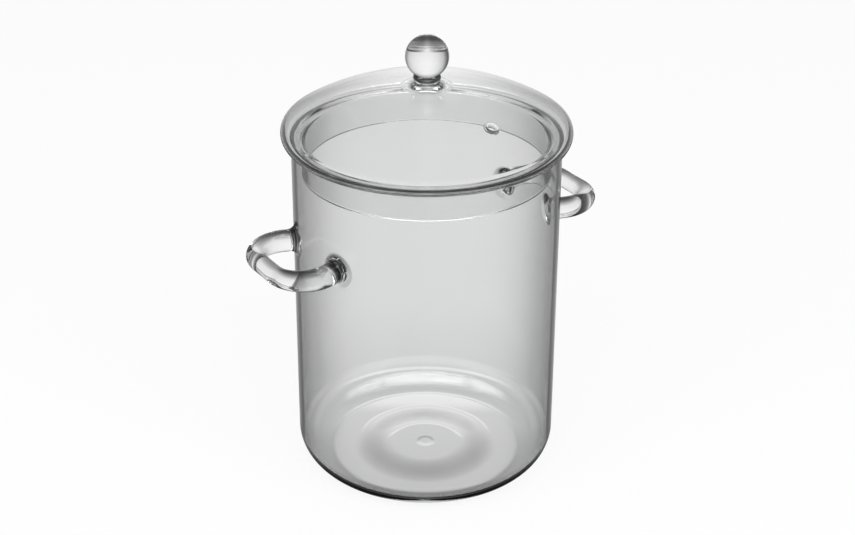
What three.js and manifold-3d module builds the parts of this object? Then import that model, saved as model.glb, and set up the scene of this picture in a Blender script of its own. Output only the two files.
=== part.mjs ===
// Tall lidded glass pot with two bent-rod handles and a ball knob.
// Millimetres, +Z up, origin at the centre of the standing ring, handles along X.
import * as THREE from 'three';
import { mergeVertices } from 'three/addons/utils/BufferGeometryUtils.js';
import Module from 'manifold-3d';

// Pot
const pot_diameter = 180;
const pot_height = 240;
const glass_wall = 3;
const rim_edge = 1;
const base_thickness = 3;
const base_corner = 22.5;
const bore_corner_width = 22.1;
const bore_corner_height = 17.8;
const punt_rise = 2.2;
const punt_start = 18;
const punt_end = 45;
const floor_rise = 1.2;
const floor_start = 14;
const floor_end = 38;

// Lid
const lid_wall = 3.2;
const brim_overhang = 6.7;
const shoulder_radius = 6.4;
const crown_radius = 180;
const skirt_clearance = 3.5;
const skirt_depth = 20.6;
const skirt_fillet = 1.4;
const skirt_edge = 0.9;
const vent_diameter = 6;
const vent_share = 0.635;
const vent_turn = -80.5;

// Knob
const ball_diameter = 28.8;
const ball_lift = 5;
const neck_diameter = 15.2;
const bead_diameter = 17;
const flare_diameter = 33;

// Handles
const handle_level = 63;
const foot_spread = 53.4;
const handle_reach = 32.6;
const bend_radius = 21;
const rod_foot_diameter = 15;
const rod_bar_diameter = 12.4;
const pad_diameter = 27.4;
const pad_height = 5;
const pad_edge = 0.9;

// Gap left between pieces that touch or are fused
const seam = 0.3;

// Facets
const round_steps = 64;
const rod_sides = 16;

// Sizes that follow from the ones above
const pot_radius = pot_diameter / 2;
const bore_radius = pot_radius - glass_wall;
const flat_radius = pot_radius - base_corner;
const lid_seat = pot_height + seam;
const brim_radius = pot_radius + brim_overhang;
const shoulder_r = brim_radius - shoulder_radius;
const shoulder_z = lid_seat + shoulder_radius;
const crown_turn = Math.asin(shoulder_r / (crown_radius - shoulder_radius));
const crown_z = shoulder_z - (crown_radius - shoulder_radius) * Math.cos(crown_turn);
const apex = crown_z + crown_radius;
const skirt_outer = bore_radius - skirt_clearance;
const skirt_inner = skirt_outer - lid_wall;
const ball_radius = ball_diameter / 2;
const ball_z = apex + ball_lift + ball_radius;
const handle_z = pot_height - handle_level;
const foot_turn = Math.asin(foot_spread / 2 / pot_radius);

const wasm = await Module();
wasm.setup();

const deg = Math.PI / 180;

/** Points of an arc in a profile, or of an ellipse's, with angles in radians from the +r direction. */
function arc(r, z, radius, from, to, steps, height = radius) {
  const points = [];
  for (let i = 0; i <= steps; i++) {
    const a = from + ((to - from) * i) / steps;
    points.push(new THREE.Vector2(r + radius * Math.cos(a), z + height * Math.sin(a)));
  }
  return points;
}

/** A soft S between two heights, z(r) = z0 + (z1 - z0) (1 - cos(pi t)) / 2. */
function ease(r0, z0, r1, z1, steps) {
  const points = [];
  for (let i = 0; i <= steps; i++) {
    const t = i / steps;
    const rise = (1 - Math.cos(Math.PI * t)) / 2;
    points.push(new THREE.Vector2(r0 + (r1 - r0) * t, z0 + (z1 - z0) * rise));
  }
  return points;
}

/** Height of a sphere on the axis above or below its centre at radius r. */
function sphereHeight(centre, radius, r, side) {
  return centre + side * Math.sqrt(radius * radius - r * r);
}

/** Profile points without the ones that repeat, turned about +Z. */
function revolve(points, steps) {
  const kept = points.filter((p, i) => i === 0 || p.distanceTo(points[i - 1]) > 1e-6);
  const geometry = new THREE.LatheGeometry(kept, steps);
  geometry.rotateX(Math.PI / 2);
  return geometry;
}

/** A closed geometry as a solid that can be joined and cut. */
function solid(geometry) {
  const bare = geometry.clone();
  bare.deleteAttribute('normal');
  bare.deleteAttribute('uv');
  const merged = mergeVertices(bare, 1e-5);
  const index = merged.index.array;
  const kept = [];
  for (let i = 0; i < index.length; i += 3) {
    const [a, b, c] = [index[i], index[i + 1], index[i + 2]];
    if (a !== b && b !== c && c !== a) kept.push(a, b, c);
  }
  const vertProperties = new Float32Array(merged.attributes.position.array);
  const triVerts = new Uint32Array(kept);
  return new wasm.Manifold(new wasm.Mesh({ numProp: 3, vertProperties, triVerts }));
}

/** A solid back as a geometry. */
function shape(body) {
  const mesh = body.getMesh();
  const geometry = new THREE.BufferGeometry();
  geometry.setAttribute('position', new THREE.BufferAttribute(new Float32Array(mesh.vertProperties), 3));
  geometry.setIndex(new THREE.BufferAttribute(new Uint32Array(mesh.triVerts), 1));
  geometry.computeVertexNormals();
  return geometry;
}

// Pot body: pushed-up base on a flat standing ring, rounded heel, straight wall, fire-polished rim
function potBody() {
  const rim_z = pot_height - rim_edge;
  const heel_r = bore_radius - bore_corner_width;
  const heel_z = base_thickness + bore_corner_height;
  const floor = base_thickness + floor_rise;
  return revolve([
    new THREE.Vector2(0, punt_rise),
    ...ease(punt_start, punt_rise, punt_end, 0, 5),
    ...arc(flat_radius, base_corner, base_corner, -90 * deg, 0, 8),
    ...arc(pot_radius - rim_edge, rim_z, rim_edge, 0, 90 * deg, 3),
    ...arc(bore_radius + rim_edge, rim_z, rim_edge, 90 * deg, 180 * deg, 3),
    ...arc(heel_r, heel_z, bore_corner_width, 0, -90 * deg, 8, bore_corner_height),
    ...ease(floor_end, base_thickness, floor_start, floor, 5),
    new THREE.Vector2(0, floor),
  ], round_steps);
}

// Lid: one blown shell, crown and rolled shoulder of an even wall, with a skirt that hangs in the bore
function lidShell() {
  const inside = lid_wall;
  const skirt_end = pot_height - skirt_depth + skirt_edge;
  const fold_r = skirt_outer + skirt_fillet;
  const fold_z = lid_seat - skirt_fillet;
  const crown = (radius, from, to, steps) => arc(0, crown_z, radius, 90 * deg - from, 90 * deg - to, steps);
  const shoulder = (radius, from, to, steps) =>
    arc(shoulder_r, shoulder_z, radius, 90 * deg - from, 90 * deg - to, steps);
  const body = solid(revolve([
    ...crown(crown_radius - inside, 0, crown_turn, 7),
    ...shoulder(shoulder_radius - inside, crown_turn, 180 * deg, 5),
    ...arc(fold_r, fold_z, skirt_fillet + inside, 90 * deg, 180 * deg, 4),
    ...arc(skirt_inner + skirt_edge, skirt_end, skirt_edge, 180 * deg, 270 * deg, 2),
    ...arc(skirt_outer - skirt_edge, skirt_end, skirt_edge, 270 * deg, 360 * deg, 2),
    ...arc(fold_r, fold_z, skirt_fillet, 180 * deg, 90 * deg, 3),
    ...shoulder(shoulder_radius, 180 * deg, crown_turn, 7),
    ...crown(crown_radius, crown_turn, 0, 7),
  ], round_steps));
  const vent = new THREE.CylinderGeometry(vent_diameter / 2, vent_diameter / 2, 12 * lid_wall, 24);
  vent.rotateX(Math.PI / 2);
  const vent_r = vent_share * brim_radius;
  const vent_z = sphereHeight(crown_z, crown_radius, vent_r, 1);
  vent.translate(vent_r * Math.cos(vent_turn * deg), vent_r * Math.sin(vent_turn * deg), vent_z);
  return shape(body.subtract(solid(vent)));
}

// Knob collar: a flare fused on the crown, a rounded bead, and a cup that the ball sits in
function knobCollar() {
  const under = crown_radius + seam;
  const flare_r = flare_diameter / 2;
  const neck_r = neck_diameter / 2;
  const flare_turn = Math.asin(flare_r / under);
  const edge_z = sphereHeight(crown_z, under, flare_r, 1) + pad_edge;
  const cup = ball_radius + seam;
  const cup_turn = Math.asin(neck_r / cup);
  const bead_swell = (bead_diameter - neck_diameter) / 2;
  const cup_z = sphereHeight(ball_z, cup, neck_r, -1);
  const waist_z = apex + (cup_z - apex) * 0.42;
  const fillet = [];
  for (let i = 0; i <= 5; i++) {
    const a = (i * 90 * deg) / 5;
    const r = flare_r - (flare_r - neck_r) * Math.sin(a);
    fillet.push(new THREE.Vector2(r, waist_z - (waist_z - edge_z) * Math.cos(a)));
  }
  const bead = [];
  for (let i = 0; i <= 6; i++) {
    const t = i / 6;
    bead.push(new THREE.Vector2(neck_r + bead_swell * Math.sin(Math.PI * t), waist_z + (cup_z - waist_z) * t));
  }
  return revolve([
    ...arc(0, crown_z, under, 90 * deg, 90 * deg - flare_turn, 3),
    ...fillet,
    ...bead,
    ...arc(0, ball_z, cup, -90 * deg + cup_turn, -90 * deg, 3),
  ], 32);
}

/** Centre line of a loop: out square to the wall, round a bend, along the bar, and back the same way. */
function loopPath() {
  const half = [];
  const start = pot_radius + pad_height + seam;
  const radial = new THREE.Vector2(Math.cos(foot_turn), Math.sin(foot_turn));
  const bar_x = pot_radius + handle_reach;
  const bend_x = bar_x - bend_radius * (1 + Math.sin(foot_turn));
  const leg_end = bend_x / Math.cos(foot_turn);
  half.push(radial.clone().multiplyScalar(start), radial.clone().multiplyScalar(leg_end));
  const centre = new THREE.Vector2(bar_x - bend_radius, leg_end * radial.y - bend_radius * Math.cos(foot_turn));
  const bend_steps = 9;
  for (let i = 1; i <= bend_steps; i++) {
    const heading = foot_turn + ((-90 * deg - foot_turn) * i) / bend_steps;
    half.push(new THREE.Vector2(
      centre.x - bend_radius * Math.sin(heading),
      centre.y + bend_radius * Math.cos(heading),
    ));
  }
  const back = half.slice().reverse().map((p) => new THREE.Vector2(p.x, -p.y));
  return [...half, ...back];
}

// Handle: a loft of round sections along the loop, thinner where the bend has drawn the rod out
function handleLoop() {
  const path = loopPath();
  const along = [0];
  for (let i = 1; i < path.length; i++) along.push(along[i - 1] + path[i].distanceTo(path[i - 1]));
  const full = along[along.length - 1];
  const position = [];
  const index = [];
  path.forEach((p, i) => {
    const before = path[Math.max(i - 1, 0)];
    const after = path[Math.min(i + 1, path.length - 1)];
    const heading = new THREE.Vector2().subVectors(after, before).normalize();
    if (i === 0) heading.set(Math.cos(foot_turn), Math.sin(foot_turn));
    if (i === path.length - 1) heading.set(-Math.cos(foot_turn), Math.sin(foot_turn));
    const drawn = Math.sin((Math.PI * along[i]) / full) ** 2;
    const radius = (rod_foot_diameter + (rod_bar_diameter - rod_foot_diameter) * drawn) / 2;
    for (let k = 0; k < rod_sides; k++) {
      const a = (2 * Math.PI * (k + 0.5)) / rod_sides;
      const side = radius * Math.cos(a);
      position.push(p.x - heading.y * side, p.y + heading.x * side, handle_z + radius * Math.sin(a));
    }
  });
  for (let i = 0; i + 1 < path.length; i++) {
    for (let k = 0; k < rod_sides; k++) {
      const a = i * rod_sides + k;
      const b = i * rod_sides + ((k + 1) % rod_sides);
      index.push(a, b, b + rod_sides, a, b + rod_sides, a + rod_sides);
    }
  }
  const last = (path.length - 1) * rod_sides;
  for (let k = 1; k + 1 < rod_sides; k++) {
    index.push(0, k + 1, k);
    index.push(last, last + k, last + k + 1);
  }
  const geometry = new THREE.BufferGeometry();
  geometry.setAttribute('position', new THREE.BufferAttribute(new Float32Array(position), 3));
  geometry.setIndex(index);
  geometry.computeVertexNormals();
  return geometry;
}

// Weld pad: the flared foot that joins a rod end to the wall, saddled to the wall's round
function weldPad() {
  const pad_r = pad_diameter / 2;
  const rod_r = rod_foot_diameter / 2;
  const flare = [];
  for (let i = 0; i <= 5; i++) {
    const a = (i * 90 * deg) / 5;
    const r = pad_r - (pad_r - rod_r) * Math.sin(a);
    flare.push(new THREE.Vector2(r, pad_height - (pad_height - pad_edge) * Math.cos(a)));
  }
  const blank = revolve([
    new THREE.Vector2(0, -glass_wall),
    new THREE.Vector2(pad_r, -glass_wall),
    ...flare,
    new THREE.Vector2(0, pad_height),
  ], 20);
  blank.rotateY(Math.PI / 2);
  blank.translate(pot_radius, 0, handle_z);
  const wall = new THREE.CylinderGeometry(pot_radius + seam, pot_radius + seam, 2 * pad_diameter, 120);
  wall.rotateX(Math.PI / 2);
  wall.translate(0, 0, handle_z);
  return shape(solid(blank).subtract(solid(wall)));
}

function glass(colour, roughness) {
  return new THREE.MeshStandardMaterial({
    color: colour, roughness, metalness: 0, transparent: true, opacity: 0.35,
  });
}

function piece(name, geometry, material) {
  const mesh = new THREE.Mesh(geometry, material);
  mesh.name = name;
  return mesh;
}

const wall_glass = glass(0xdfe3e3, 0.03);
const rod_glass = glass(0xe6eaea, 0.03);

const pot = new THREE.Group();
pot.add(piece('pot_body', potBody(), wall_glass));
for (const [side, turn] of [['right', 0], ['left', Math.PI]]) {
  const handle = new THREE.Group();
  handle.rotation.z = turn;
  handle.add(piece(`handle_${side}`, handleLoop(), rod_glass));
  for (const [end, lean] of [['a', -foot_turn], ['b', foot_turn]]) {
    const pad = piece(`weld_pad_${side}_${end}`, weldPad(), rod_glass);
    pad.rotation.z = lean;
    handle.add(pad);
  }
  pot.add(handle);
}

const lid = new THREE.Group();
lid.add(piece('lid_shell', lidShell(), wall_glass));
lid.add(piece('knob_collar', knobCollar(), rod_glass));
const ball = piece('knob_ball', new THREE.SphereGeometry(ball_radius, 28, 18).rotateX(Math.PI / 2), rod_glass);
ball.position.z = ball_z;
lid.add(ball);

const glass_pot = new THREE.Group();
glass_pot.add(pot, lid);

export default glass_pot;
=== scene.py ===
"""Clear glass pot with two bent-rod handles and a domed lid with a ball knob.

Sizes are in millimetres and are turned into metres where a mesh is made. The pot's axis is Z, the
handles lie along X, and the pot stands on Z = 0.
"""
from math import asin, cos, pi, radians, sin, sqrt

import bpy
import numpy as np
from mathutils import Matrix


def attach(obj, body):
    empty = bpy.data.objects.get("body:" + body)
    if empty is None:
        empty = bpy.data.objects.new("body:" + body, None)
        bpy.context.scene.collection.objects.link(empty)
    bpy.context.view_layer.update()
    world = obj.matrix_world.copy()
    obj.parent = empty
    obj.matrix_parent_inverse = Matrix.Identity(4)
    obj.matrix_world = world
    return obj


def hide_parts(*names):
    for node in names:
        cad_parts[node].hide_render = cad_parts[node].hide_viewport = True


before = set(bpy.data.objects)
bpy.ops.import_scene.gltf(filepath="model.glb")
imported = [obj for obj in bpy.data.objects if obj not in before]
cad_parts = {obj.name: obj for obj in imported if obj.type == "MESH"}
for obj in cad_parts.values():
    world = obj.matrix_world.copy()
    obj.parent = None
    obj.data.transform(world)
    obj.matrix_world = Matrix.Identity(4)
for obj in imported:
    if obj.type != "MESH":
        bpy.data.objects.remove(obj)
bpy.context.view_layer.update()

# Metres in a millimetre, and the angle past which an edge is sharp
MM = 0.001
SHARP = radians(50)

# Columns round the pot and the lid, round the knob and round a rod
POT_COLUMNS = 224
KNOB_COLUMNS = 128
ROD_COLUMNS = 56

# Pot
POT_R = 90.0
POT_H = 240.0
WALL = 3.0
RIM = 1.0
BORE_R = POT_R - WALL
BASE = 3.0
HEEL = 22.5
BORE_HEEL_R = 22.1
BORE_HEEL_Z = 17.8
PUNT = 2.1
PUNT_START = 22.8
PUNT_END = 51.4
BUTTON = 0.3
BUTTON_START = 3.5
BUTTON_END = 7.0
PRESSED_R = 61.0

# Lid
SEAM = 0.3
SEAT = POT_H + SEAM
LID_WALL = 3.5
OVERHANG = 6.7
BRIM_R = POT_R + OVERHANG
SHOULDER = 6.4
SHOULDER_R = BRIM_R - SHOULDER
SHOULDER_Z = SEAT + SHOULDER
CROWN = 180.0
CROWN_TURN = asin(SHOULDER_R / (CROWN - SHOULDER))
CROWN_Z = SHOULDER_Z - (CROWN - SHOULDER) * cos(CROWN_TURN)
APEX = CROWN_Z + CROWN
SKIRT_PLAY = 3.8
SKIRT_OUT = BORE_R - SKIRT_PLAY
SKIRT_IN = SKIRT_OUT - LID_WALL
SKIRT_DROP = 20.6
SKIRT_Z = POT_H - SKIRT_DROP
SKIRT_EDGE = 0.9
FOLD = 1.4

# Steam hole in the lid
VENT_SHARE = 0.635
VENT_OUT = VENT_SHARE * BRIM_R
VENT_TURN = radians(-80.5)
VENT_R = 2.6
VENT_LIP = 1.3
VENT_SWELL = 0.25
VENT_RUN = 1.5
GROUND_R = 3.4

# Knob
BALL = 14.4
BALL_LIFT = 5.0
BALL_Z = APEX + BALL_LIFT + BALL
NECK_R = 8.2
BEAD_R = 9.1
FLARE_R = 17.2
WAIST_SHARE = 0.3

# Handles
HANDLE_DROP = 63.0
HANDLE_Z = POT_H - HANDLE_DROP
FOOT_Y = 26.7
FOOT_TURN = asin(FOOT_Y / POT_R)
REACH = 32.6
BEND = 21.0
ROD_FOOT = 7.5
ROD_BAR = 6.2
PAD_R = 12.4
PAD_H = 5.0
SADDLE = 9.0

# Depth to which a fused piece is sunk into the glass that carries it
SINK = 0.05

# Image width in pixels and sensor width in millimetres
IMAGE = 855
SENSOR = 36.0


def arc(r, z, radius, start, end, steps, height=None):
    """Rows of (r, z) on a circle about (r, z), or on an ellipse if it has a height of its own."""
    a = np.linspace(start, end, steps + 1)
    return np.column_stack([r + radius * np.cos(a), z + (height or radius) * np.sin(a)])


def line(r0, z0, r1, z1, steps):
    """Rows of (r, z) on a straight line, with a close row at each end that keeps its shading flat."""
    t = np.concatenate([[0, 0.004], np.linspace(0, 1, steps + 1)[1:-1], [0.996, 1]])
    return np.column_stack([r0 + (r1 - r0) * t, z0 + (z1 - z0) * t])


def ease(r0, z0, r1, z1, steps):
    """Rows of (r, z) on a soft S: r runs evenly, z follows (1 - cos(pi t)) / 2."""
    t = np.linspace(0, 1, steps + 1)
    return np.column_stack([r0 + (r1 - r0) * t, z0 + (z1 - z0) * (1 - np.cos(pi * t)) / 2])


def profile(*runs):
    """The runs one after another, without the points that repeat."""
    rows = np.vstack(runs)
    step = np.linalg.norm(np.diff(rows, axis=0), axis=1)
    return rows[np.concatenate([[True], step > 1e-6])]


def turned(rows, columns, phase=0.0):
    """Surface of revolution: a profile row (r, z) gives (r cos t, r sin t, z) for t round the circle."""
    t = phase + 2 * pi * np.arange(columns) / columns
    x = np.outer(rows[:, 0], np.cos(t))
    y = np.outer(rows[:, 0], np.sin(t))
    z = np.repeat(rows[:, 1:], columns, axis=1)
    return np.stack([x, y, z], axis=-1)


def numbered(grid):
    """Vertex numbers of a grid that is closed round its columns and ends in a point at both ends."""
    count, columns = grid.shape[:2]
    number = np.zeros((count, columns), int)
    number[1:-1] = 1 + np.arange((count - 2) * columns).reshape(count - 2, columns)
    number[-1] = 1 + (count - 2) * columns
    points = np.vstack([grid[0, :1], grid[1:-1].reshape(-1, 3), grid[-1, :1]])
    return number, points


def cells(number):
    """Quads between neighbouring rows and columns of vertex numbers, with the columns closed."""
    after = np.roll(number, -1, axis=1)
    return np.stack([number[:-1], after[:-1], after[1:], number[1:]], axis=-1)


def piece(name, points, quads, material, body, nodes):
    """A mesh piece from points in millimetres and quads. One with a repeated corner is a triangle."""
    quads = quads.reshape(-1, 4)
    first = quads[:, 0] == quads[:, 1]
    last = quads[:, 2] == quads[:, 3]
    fours = quads[~first & ~last]
    threes = np.vstack([quads[first][:, 1:], quads[last][:, :3]])
    corner = np.concatenate([fours.ravel(), threes.ravel()])
    total = np.concatenate([np.full(len(fours), 4), np.full(len(threes), 3)])
    mesh = bpy.data.meshes.new(name)
    mesh.vertices.add(len(points))
    mesh.vertices.foreach_set("co", (points * MM).astype(np.float32).ravel())
    mesh.loops.add(len(corner))
    mesh.loops.foreach_set("vertex_index", corner.astype(np.int32))
    mesh.polygons.add(len(total))
    mesh.polygons.foreach_set("loop_start", (np.cumsum(total) - total).astype(np.int32))
    mesh.polygons.foreach_set("loop_total", total.astype(np.int32))
    mesh.polygons.foreach_set("use_smooth", np.ones(len(total), bool))
    mesh.update(calc_edges=True)
    mesh.set_sharp_from_angle(angle=SHARP)
    mesh.materials.append(material)
    made = bpy.data.objects.new(name, mesh)
    bpy.context.scene.collection.objects.link(made)
    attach(made, body)
    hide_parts(*nodes)
    return made


class Sock:
    """An output socket of a shader tree. + - * / of sockets and numbers add Math nodes."""

    def __init__(self, shader, socket):
        self.shader = shader
        self.socket = socket

    def other(self, name):
        """Another output of the same node."""
        return Sock(self.shader, self.socket.node.outputs[name])

    def math(self, operation, a, b):
        return self.shader.add("ShaderNodeMath", {"operation": operation}, {0: a, 1: b})

    def __add__(self, b):
        return self.math("ADD", self, b)

    def __radd__(self, a):
        return self.math("ADD", a, self)

    def __sub__(self, b):
        return self.math("SUBTRACT", self, b)

    def __rsub__(self, a):
        return self.math("SUBTRACT", a, self)

    def __mul__(self, b):
        return self.math("MULTIPLY", self, b)

    def __rmul__(self, a):
        return self.math("MULTIPLY", a, self)

    def __truediv__(self, b):
        return self.math("DIVIDE", self, b)


class Shader:
    """A node tree that is filled by add()."""

    def __init__(self, tree):
        self.tree = tree
        tree.nodes.clear()

    def add(self, kind, settings=None, sockets=None, out=0):
        """Adds a node: its settings first, then the values or links of its sockets. Gives one output."""
        node = self.tree.nodes.new(kind)
        for key, value in (settings or {}).items():
            if key == "stops":
                self.stops(node.color_ramp, value)
            else:
                setattr(node, key, value)
        for key, value in (sockets or {}).items():
            if isinstance(value, Sock):
                self.tree.links.new(value.socket, node.inputs[key])
            else:
                node.inputs[key].default_value = value
        return Sock(self, node.outputs[out]) if len(node.outputs) else None

    def stops(self, ramp, stops):
        """Sets a ramp's stops from pairs of place and grey."""
        while len(ramp.elements) < len(stops):
            ramp.elements.new(0.5)
        for element, (place, grey) in zip(ramp.elements, stops):
            element.position = place
            element.color = (grey, grey, grey, 1)

    def ramp(self, value, stops):
        """Grey by value, through stops in rising order."""
        return self.add("ShaderNodeValToRGB", {"stops": stops}, {"Fac": value})

    def step(self, value, low, high, bottom=0.0, top=1.0):
        """A smooth step from bottom, where value is at low, to top, where it is at high. It may fall."""
        sockets = {"Value": value, "From Min": low, "From Max": high, "To Min": bottom, "To Max": top}
        return self.add("ShaderNodeMapRange", {"interpolation_type": "SMOOTHSTEP"}, sockets)

    def noise(self, place, scale, detail):
        return self.add(
            "ShaderNodeTexNoise",
            {},
            {"Vector": place, "Scale": scale, "Detail": detail},
            "Fac",
        )

    def dot(self, a, b):
        return self.add("ShaderNodeVectorMath", {"operation": "DOT_PRODUCT"}, {0: a, 1: b}, "Value")

    def blend(self, factor, a, b):
        """From colour a to colour b by a factor."""
        return self.add("ShaderNodeMix", {"data_type": "RGBA"}, {"Factor": factor, 6: a, 7: b}, 2)

    def off_axis(self, place, x, y):
        """Distance of a place from the upright axis through (x, y)."""
        centred = self.add("ShaderNodeVectorMath", {"operation": "SUBTRACT"}, {0: place, 1: (x, y, 0)})
        flat = self.add("ShaderNodeVectorMath", {"operation": "MULTIPLY"}, {0: centred, 1: (1, 1, 0)})
        return self.add("ShaderNodeVectorMath", {"operation": "LENGTH"}, {0: flat}, "Value")


def clear_glass(name, pale, deep, streak, ground=None, pressed=None):
    """Clear heatproof glass: faint drawn streaks in its grey, wiped haze and a slow ripple.

    Its grey runs from pale to deep. A drilled hole's axis and radius in metres, if given, make the glass
    matt where it was ground. Within the pressed radius, if given, it is thinner and has no grey.
    """
    material = bpy.data.materials.new(name)
    material.use_nodes = True
    shader = Shader(material.node_tree)
    place = shader.add("ShaderNodeTexCoord", out="Object")
    drawn = shader.add("ShaderNodeMapping", {}, {"Vector": place, "Scale": streak})
    thick = shader.noise(drawn, 1.0, 2.0)
    grey = shader.blend(shader.step(thick, 0.3, 0.7), (*pale, 1), (*deep, 1))
    if pressed:
        inside = shader.step(shader.off_axis(place, 0, 0), pressed * 1.1, pressed)
        grey = shader.blend(inside, grey, (1, 1, 1, 1))
    wipe = shader.noise(place, 26.0, 3.0)
    haze = 0.002 + 0.014 * shader.step(wipe, 0.52, 0.75)
    wave = shader.noise(drawn, 1.6, 1.0)
    ripple = shader.add("ShaderNodeBump", {}, {"Height": wave, "Strength": 0.03, "Distance": 0.002})
    surface = shader.add(
        "ShaderNodeBsdfPrincipled",
        {},
        {
            "Base Color": grey,
            "Roughness": haze,
            "Normal": ripple,
            "IOR": 1.474,
            "Transmission Weight": 1.0,
        },
    )
    if ground:
        x, y, radius = ground
        matt = shader.step(shader.off_axis(place, x, y), radius * 1.25, radius)
        frost = shader.add("ShaderNodeBsdfDiffuse", {}, {"Color": (0.75, 0.75, 0.75, 1)})
        surface = shader.add("ShaderNodeMixShader", {}, {0: 0.85 * matt, 1: surface, 2: frost})
    shader.add("ShaderNodeOutputMaterial", {}, {"Surface": surface})
    return material


def pot_body(material):
    """Turned profile: pushed-up base, flat standing ring, rounded heel, straight wall and round rim."""
    rim_z = POT_H - RIM
    heel_r = BORE_R - BORE_HEEL_R
    heel_z = BASE + BORE_HEEL_Z
    rows = profile(
        line(0, PUNT, PUNT_START, PUNT, 6),
        ease(PUNT_START, PUNT, PUNT_END, 0, 32),
        line(PUNT_END, 0, POT_R - HEEL, 0, 4),
        arc(POT_R - HEEL, HEEL, HEEL, -pi / 2, 0, 40),
        line(POT_R, HEEL, POT_R, rim_z, 24),
        arc(POT_R - RIM, rim_z, RIM, 0, pi / 2, 10),
        line(POT_R - RIM, POT_H, BORE_R + RIM, POT_H, 1),
        arc(BORE_R + RIM, rim_z, RIM, pi / 2, pi, 10),
        line(BORE_R, rim_z, BORE_R, heel_z, 24),
        arc(heel_r, heel_z, BORE_HEEL_R, 0, -pi / 2, 40, BORE_HEEL_Z),
        line(heel_r, BASE, BUTTON_END, BASE, 6),
        ease(BUTTON_END, BASE, BUTTON_START, BASE + BUTTON, 10),
        line(BUTTON_START, BASE + BUTTON, 0, BASE + BUTTON, 2),
    )
    number, points = numbered(turned(rows, POT_COLUMNS))
    piece("pot_body", points, cells(number), material, "pot", ["pot_body"])


def crown_rows(radius, steps):
    """Profile of the crown's sphere from the axis to the shoulder, at even angles."""
    return arc(0, CROWN_Z, radius, pi / 2, pi / 2 - CROWN_TURN, steps)


def lid_shell(material):
    """Turned profile of crown, rolled shoulder and skirt, opened by a patch of cells for the hole."""
    steps = 48
    fold_r = SKIRT_OUT + FOLD
    fold_z = SEAT - FOLD
    end_z = SKIRT_Z + SKIRT_EDGE
    bend = pi / 2 - CROWN_TURN
    rows = profile(
        crown_rows(CROWN - LID_WALL, steps),
        arc(SHOULDER_R, SHOULDER_Z, SHOULDER - LID_WALL, bend, -pi / 2, 24),
        line(SHOULDER_R, SEAT + LID_WALL, fold_r, SEAT + LID_WALL, 2),
        arc(fold_r, fold_z, FOLD + LID_WALL, pi / 2, pi, 16),
        line(SKIRT_IN, fold_z, SKIRT_IN, end_z, 6),
        arc(SKIRT_IN + SKIRT_EDGE, end_z, SKIRT_EDGE, pi, 1.5 * pi, 8),
        line(SKIRT_IN + SKIRT_EDGE, SKIRT_Z, SKIRT_OUT - SKIRT_EDGE, SKIRT_Z, 1),
        arc(SKIRT_OUT - SKIRT_EDGE, end_z, SKIRT_EDGE, 1.5 * pi, 2 * pi, 8),
        line(SKIRT_OUT, end_z, SKIRT_OUT, fold_z, 6),
        arc(fold_r, fold_z, FOLD, pi, pi / 2, 10),
        line(fold_r, SEAT, SHOULDER_R, SEAT, 2),
        arc(SHOULDER_R, SHOULDER_Z, SHOULDER, -pi / 2, bend, 40),
        crown_rows(CROWN, steps)[::-1],
    )
    number, points = numbered(turned(rows, POT_COLUMNS, VENT_TURN - pi))
    quads = cells(number)

    # The opened patch lies the same way on the inner and the outer crown, five cells to each side.
    half = 5
    vent_angle = asin(VENT_OUT / CROWN)
    low = round(vent_angle / CROWN_TURN * steps) - half
    high = low + 2 * half
    left = POT_COLUMNS // 2 - half
    right = POT_COLUMNS // 2 + half
    total = len(rows)
    keep = np.ones(quads.shape[:2], bool)
    keep[low:high, left:right] = False
    keep[total - 1 - high:total - 1 - low, left:right] = False

    side = np.arange(2 * half)
    row = np.concatenate([low + 0 * side, low + side, high + 0 * side, high - side])
    column = np.concatenate([left + side, right + 0 * side, right - side, left + 0 * side])
    inner_edge = number[row, column]
    outer_edge = number[total - 1 - row, column]
    ring, lip = vent_lip(points[outer_edge], vent_angle, len(points))
    points = np.vstack([points, lip])
    loops = np.vstack([outer_edge, ring, inner_edge])[:, ::-1]
    piece(
        "lid_shell",
        points,
        np.vstack([quads[keep].reshape(-1, 4), cells(loops).reshape(-1, 4)]),
        material,
        "lid",
        ["lid_shell"],
    )


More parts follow.
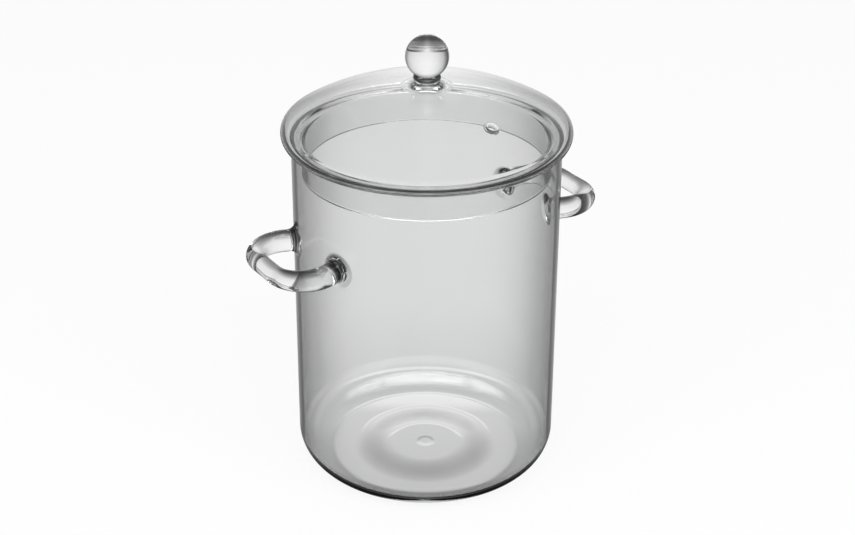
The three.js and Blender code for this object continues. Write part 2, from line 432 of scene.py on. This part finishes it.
def vent_lip(edge, vent_angle, first):
    """Rings from the edge of the opened patch, over the rounded lip of the hole and back inside.

    A ring is at distance d from the hole's axis and height h over the middle of the wall: it runs in
    along the outer face, swells a little, goes round an ellipse and runs out again.
    """
    face = LID_WALL / 2
    middle = CROWN - face
    flat = np.array([cos(VENT_TURN), sin(VENT_TURN), 0])
    normal = flat * sin(vent_angle) + np.array([0, 0, cos(vent_angle)])
    radial = flat * cos(vent_angle) - np.array([0, 0, sin(vent_angle)])
    across = np.cross(normal, radial)
    ray = edge - np.array([0, 0, CROWN_Z])
    ray /= np.linalg.norm(ray, axis=1)[:, None]
    far = np.arccos(ray @ normal) * middle
    turn = np.arctan2(ray @ across, ray @ radial)

    bead = VENT_R + VENT_LIP
    run = np.linspace(0, 1, 8)[1:]
    rise = np.linspace(0, 1, 7)[1:]
    swell = face + VENT_SWELL * (1 - np.cos(pi * rise)) / 2
    around = np.linspace(pi / 2, 3 * pi / 2, 19)[1:-1]
    d_run = far + (bead + VENT_RUN - far) * run[:, None]
    d_rise = np.repeat((bead + VENT_RUN * (1 - rise))[:, None], len(far), axis=1)
    d_out = np.vstack([d_run, d_rise])
    h_out = np.concatenate([np.full(len(run), face), swell])
    d_lip = np.repeat((bead + VENT_LIP * np.cos(around))[:, None], len(far), axis=1)
    h_lip = (face + VENT_SWELL) * np.sin(around)
    d = np.vstack([d_out, d_lip, d_out[::-1]])
    h = np.concatenate([h_out, h_lip, -h_out[::-1]])[:, None, None]

    angle = (d / middle)[..., None]
    outward = np.cos(turn)[None, :, None] * radial + np.sin(turn)[None, :, None] * across
    grid = (middle + h) * (np.cos(angle) * normal + np.sin(angle) * outward)
    grid[..., 2] += CROWN_Z
    ring = first + np.arange(grid.shape[0] * grid.shape[1]).reshape(grid.shape[:2])
    return ring, grid.reshape(-1, 3)


def knob(material):
    """Turned profile: a hollow flare sunk on the crown, a bead that swells by a sine, and a ball."""
    under = CROWN - SINK
    edge_z = CROWN_Z + sqrt(CROWN ** 2 - FLARE_R ** 2)
    join_z = BALL_Z - sqrt(BALL ** 2 - NECK_R ** 2)
    waist_z = APEX + (join_z - APEX) * WAIST_SHARE
    t = np.linspace(0, 1, 17)
    bead = np.column_stack([
        NECK_R + (BEAD_R - NECK_R) * np.sin(pi * t),
        waist_z + (join_z - waist_z) * t,
    ])
    rows = profile(
        arc(0, CROWN_Z, under, pi / 2, pi / 2 - asin(FLARE_R / under), 16),
        arc(FLARE_R, waist_z, FLARE_R - NECK_R, -pi / 2, -pi, 24, waist_z - edge_z),
        bead,
        arc(0, BALL_Z, BALL, -pi / 2 + asin(NECK_R / BALL), pi / 2, 72),
    )
    rows[-1, 0] = 0
    number, points = numbered(turned(rows, KNOB_COLUMNS))
    nodes = ["knob_collar", "knob_ball"]
    piece("lid_knob", points, cells(number), material, "lid", nodes)


def loop_path(s):
    """Centre line of half a handle by distance s from the wall: point (x, y), heading and full length.

    A leg leaves the wall square, a bend of even radius turns it through the corner, and the bar runs
    across to the middle.
    """
    bar_x = POT_R + REACH
    leg_end = (bar_x - BEND * (1 + sin(FOOT_TURN))) / cos(FOOT_TURN)
    centre_y = leg_end * sin(FOOT_TURN) - BEND * cos(FOOT_TURN)
    leg = leg_end - POT_R
    bend = BEND * (pi / 2 + FOOT_TURN)
    heading = FOOT_TURN - np.clip(s - leg, 0, bend) / BEND
    on_leg = np.minimum(s, leg)
    past = np.maximum(s - leg - bend, 0)
    x = np.where(s <= leg, (POT_R + on_leg) * cos(FOOT_TURN), bar_x - BEND - BEND * np.sin(heading))
    y = np.where(s <= leg, (POT_R + on_leg) * sin(FOOT_TURN), centre_y + BEND * np.cos(heading) - past)
    return x, y, heading, leg + bend + centre_y


def handle(name, turn, material, nodes):
    """Round sections carried along the loop, flared to a saddle on the wall at both feet.

    The flare is a quarter ellipse from the pad's edge to the rod, and the rod thins towards the bar
    by sin squared. Near the wall a section is laid round the pot instead of in a plane.
    """
    length = loop_path(np.zeros(1))[3]
    flare = arc(PAD_R, PAD_H, PAD_R - ROD_FOOT, -pi / 2, -pi, 27, PAD_H)
    rod_s = PAD_H + (length - PAD_H) * np.linspace(0, 1, 90)[1:]
    thin = np.sin(pi / 2 * (rod_s - PAD_H) / (length - PAD_H)) ** 2
    rod_r = ROD_FOOT + (ROD_BAR - ROD_FOOT) * thin
    cap = np.linspace(0, 1, 10)[:-1]
    s = np.concatenate([np.full(len(cap), -SINK), [-SINK], flare[:, 1], rod_s])
    r = np.concatenate([PAD_R * cap, [PAD_R], flare[:, 0], rod_r])

    x, y, heading, _ = loop_path(s)
    around = 2 * pi * np.arange(ROD_COLUMNS) / ROD_COLUMNS
    side = np.outer(r, np.cos(around))
    up = np.outer(r, np.sin(around))
    flat_x = x[:, None] - np.sin(heading)[:, None] * side
    flat_y = y[:, None] + np.cos(heading)[:, None] * side
    reach = (POT_R + s)[:, None]
    laid = FOOT_TURN + side / reach
    share = np.clip(1 - s / SADDLE, 0, 1)[:, None]
    share = share * share * (3 - 2 * share)
    grid = np.stack([
        share * reach * np.cos(laid) + (1 - share) * flat_x,
        share * reach * np.sin(laid) + (1 - share) * flat_y,
        HANDLE_Z + up,
    ], axis=-1)
    mirrored = grid[-2::-1] * np.array([1, -1, 1])
    full = np.concatenate([grid, mirrored])
    spin = np.array([[cos(turn), sin(turn), 0], [-sin(turn), cos(turn), 0], [0, 0, 1]])
    number, points = numbered(full @ spin)
    piece(name, points, cells(number), material, "pot", nodes)


def studio(away):
    """World light: a white sweep behind the pot, dark flags beside it and a soft box over the front.

    A ray's height runs from 0 straight down to 1 straight up, and ahead and right say where it points
    round the pot. What is seen straight through the glass is the sweep. What is mirrored in the glass is
    the room, which is dim apart from a lit strip of the sweep, pale wings beside it and the soft box.
    A ray is deep once it has passed more than two surfaces of glass.
    """
    dim = 0.03
    floor_pale = 0.75
    on_matt = 0.5
    world = bpy.data.worlds.new("studio")
    bpy.context.scene.world = world
    world.use_nodes = True
    shader = Shader(world.node_tree)
    ray = shader.add("ShaderNodeTexCoord", out="Generated")
    up = shader.dot(ray, (0, 0, 1))
    flat = shader.add("ShaderNodeMath", {"operation": "SQRT"}, {0: 1.0001 - up * up})
    ahead = shader.dot(ray, (away[0], away[1], 0)) / flat
    right = shader.dot(ray, (away[1], -away[0], 0)) / flat
    aside = right * right
    height = (up + 1.0) * 0.5
    in_view = shader.add("ShaderNodeLightPath", out="Is Camera Ray")
    passed = in_view.other("Transmission Depth")
    bounced = in_view.other("Glossy Depth")
    deep = shader.step(passed, 2.2, 2.8)

    # The sweep darkens towards the floor behind the pot, and stays paler on the other side.
    lit = shader.ramp(height, [
        (0.0, 0.03), (0.022, 0.05), (0.09, 0.11), (0.152, 0.28), (0.21, 0.57),
        (0.26, 0.86), (0.31, 0.88), (0.36, 0.92), (0.41, 0.94),
        (0.67, 0.94), (0.75, 0.66), (0.85, 0.25), (0.93, 0.12),
    ])
    plain = shader.ramp(height, [
        (0.0, 0.5), (0.1, 0.75), (0.27, 0.88), (0.35, 0.95), (0.7, 0.95), (0.85, 0.6),
    ])
    behind = shader.step(ahead, -0.3, 0.3)
    sweep = plain + behind * (lit - plain)

    # The floor under the pot is pale where a few walls of glass are looked through steeply.
    under = deep * shader.step(passed, 5.8, 5.2) * shader.step(height, 0.06, 0.025)
    sweep = sweep + under * (floor_pale - sweep)

    # Flags stand at both sides of the sweep and show less in deep rays. Their ramp runs by the tangent
    # of half the angle from straight ahead.
    turn = right / (1.001 + ahead)
    flags = shader.ramp(turn * 0.4 + 0.5, [
        (0.1, 0.95), (0.185, 0.95), (0.22, 0.35), (0.262, 0.1), (0.334, 0.3),
        (0.366, 0.56), (0.43, 0.86), (0.479, 1.0), (0.521, 1.0), (0.585, 0.9),
        (0.662, 0.72), (0.7, 0.5), (0.755, 0.35), (0.81, 0.8), (0.87, 0.95),
    ])
    flagged = 1.0 - (1.0 - flags) * (1.0 - 0.8 * deep)

    # Deep rays see the sweep dimmer beside its middle, and a bright band low on the middle.
    beside = shader.step(aside, 0.001, 0.02, 0.0, 0.24) * shader.step(aside, 0.25, 0.1)
    level_band = shader.step(height, 0.234, 0.2372) * shader.step(height, 0.2445, 0.2415)
    band = level_band * shader.step(aside, 0.008, 0.001)
    straight = sweep * flagged * (1.03 - deep * (beside + 0.03 - 0.3 * band))

    # The room: strip and wings behind and beside the pot, haze and soft box over the front.
    within = shader.step(passed, 0.2, 0.8, 0.85, 1.0)
    strip = within * shader.step(ahead, 0.0, 0.5) / (1.0 + aside * 25.0)
    wings = shader.step(up, -0.1, 0.05) * shader.step(up, 0.45, 0.35) * shader.step(aside, 0.2, 0.5)
    over = shader.step(up, 0.49, 0.54) * shader.step(ahead * flat, 0.06, -0.04)
    box = shader.step(up, 0.62, 0.74) * shader.step(ahead * flat, 0.35, 0.1)
    once = shader.step(bounced, 1.8, 1.2)
    often = shader.step(bounced, 3.2, 3.8)
    lamps = box * once * 6.0 + over * shader.step(up, 0.88, 0.8) * often * 2.6
    room = dim + lit * strip + 0.6 * wings * deep + over * (0.3 + 0.7 * deep) + lamps * deep

    mirrored = shader.step(bounced, 0.2, 0.8)
    seen = straight + mirrored * (room - straight)
    glass = shader.add(
        "ShaderNodeMath",
        {"operation": "MAXIMUM"},
        {0: in_view.other("Is Transmission Ray"), 1: in_view.other("Is Glossy Ray")},
    )
    level = glass * seen + (1 - glass) * on_matt
    level = in_view + (1 - in_view) * level
    sky = shader.add("ShaderNodeBackground", {}, {"Color": (1, 1, 1, 1), "Strength": level})
    shader.add("ShaderNodeOutputWorld", {}, {"Surface": sky})


def paper_floor():
    """White square just under the pot, nearly white to the camera, that keeps the pot's shadow."""
    half = 6.0
    z = -0.0003
    mesh = bpy.data.meshes.new("floor")
    corners = [(-half, -half, z), (half, -half, z), (half, half, z), (-half, half, z)]
    mesh.from_pydata(corners, [], [(0, 1, 2, 3)])
    floor = bpy.data.objects.new("floor", mesh)
    bpy.context.scene.collection.objects.link(floor)
    floor.visible_transmission = False
    floor.visible_glossy = False
    paper = bpy.data.materials.new("white_paper")
    paper.use_nodes = True
    shader = Shader(paper.node_tree)
    shade = shader.add("ShaderNodeBsdfDiffuse", {}, {"Color": (0.9, 0.9, 0.9, 1)})
    glow = shader.add("ShaderNodeEmission", {}, {"Color": (1, 1, 1, 1), "Strength": 1.0})
    in_view = shader.add("ShaderNodeLightPath", out="Is Camera Ray")
    both = shader.add("ShaderNodeMixShader", {}, {0: in_view * 0.9, 1: shade, 2: glow})
    shader.add("ShaderNodeOutputMaterial", {}, {"Surface": both})
    mesh.materials.append(paper)


def stand(name, data, x, y, z, place):
    """An object with the axes x, y and z at a place in metres."""
    matrix = np.eye(4)
    matrix[:3] = np.column_stack([x, y, z, place])
    made = bpy.data.objects.new(name, data)
    bpy.context.scene.collection.objects.link(made)
    made.matrix_world = Matrix(matrix.tolist())
    return made


def soft_lamp(away):
    """One wide lamp over the front, pointed at the pot. The glass shows the soft box instead."""
    tilt = radians(48)
    distance = 1.5
    aim = np.array([0, 0, 0.1])
    lamp = bpy.data.lights.new("soft_lamp", "AREA")
    lamp.shape = "RECTANGLE"
    lamp.size = 3.6
    lamp.size_y = 0.9
    lamp.energy = 30.0
    out = np.array([-away[0] * cos(tilt), -away[1] * cos(tilt), sin(tilt)])
    side = np.array([away[1], -away[0], 0.0])
    made = stand("soft_lamp", lamp, side, np.cross(out, side), out, out * distance + aim)
    made.visible_glossy = False
    made.visible_transmission = False


def camera(azimuth, elevation, distance, target_x, target_z, roll, focal):
    """Camera at the photograph's angle. Gives the level direction that it looks in.

    Target and distance are in millimetres, target_x to the right in the image, and focal is in pixels.
    """
    a = radians(azimuth)
    e = radians(elevation)
    right = np.array([cos(a), sin(a), 0])
    back = np.array([sin(a) * cos(e), -cos(a) * cos(e), sin(e)])
    up = np.cross(back, right)
    turned_right = cos(roll) * right + sin(roll) * up
    turned_up = cos(roll) * up - sin(roll) * right
    eye = right * target_x + np.array([0, 0, target_z]) + back * distance
    lens = bpy.data.cameras.new("camera")
    lens.sensor_width = SENSOR
    lens.lens = focal * SENSOR / IMAGE
    lens.clip_end = 50.0
    bpy.context.scene.camera = stand("camera", lens, turned_right, turned_up, back, eye * MM)
    return -back[:2] / np.linalg.norm(back[:2])


scene = bpy.context.scene
scene.view_settings.view_transform = "Standard"
scene.cycles.max_bounces = 40
scene.cycles.transmission_bounces = 40
scene.cycles.glossy_bounces = 11

away = camera(
    azimuth=-33.0,
    elevation=27.531,
    distance=1246.95,
    target_x=0.89,
    target_z=143.46,
    roll=0.0048,
    focal=1814.63,
)
studio(away)
paper_floor()
soft_lamp(away)

wall_glass = clear_glass(
    "wall_glass",
    pale=(0.974, 0.976, 0.976),
    deep=(0.96, 0.963, 0.963),
    streak=(14, 14, 3),
    pressed=PRESSED_R * MM,
)
lid_glass = clear_glass(
    "lid_glass",
    pale=(0.964, 0.966, 0.966),
    deep=(0.952, 0.955, 0.955),
    streak=(9, 9, 9),
    ground=(VENT_OUT * cos(VENT_TURN) * MM, VENT_OUT * sin(VENT_TURN) * MM, GROUND_R * MM),
)
rod_glass = clear_glass(
    "rod_glass",
    pale=(0.982, 0.984, 0.984),
    deep=(0.965, 0.968, 0.968),
    streak=(22, 22, 22),
)

pot_body(wall_glass)
lid_shell(lid_glass)
knob(rod_glass)
handle("handle_right", 0.0, rod_glass, ["handle_right", "weld_pad_right_a", "weld_pad_right_b"])
handle("handle_left", pi, rod_glass, ["handle_left", "weld_pad_left_a", "weld_pad_left_b"])
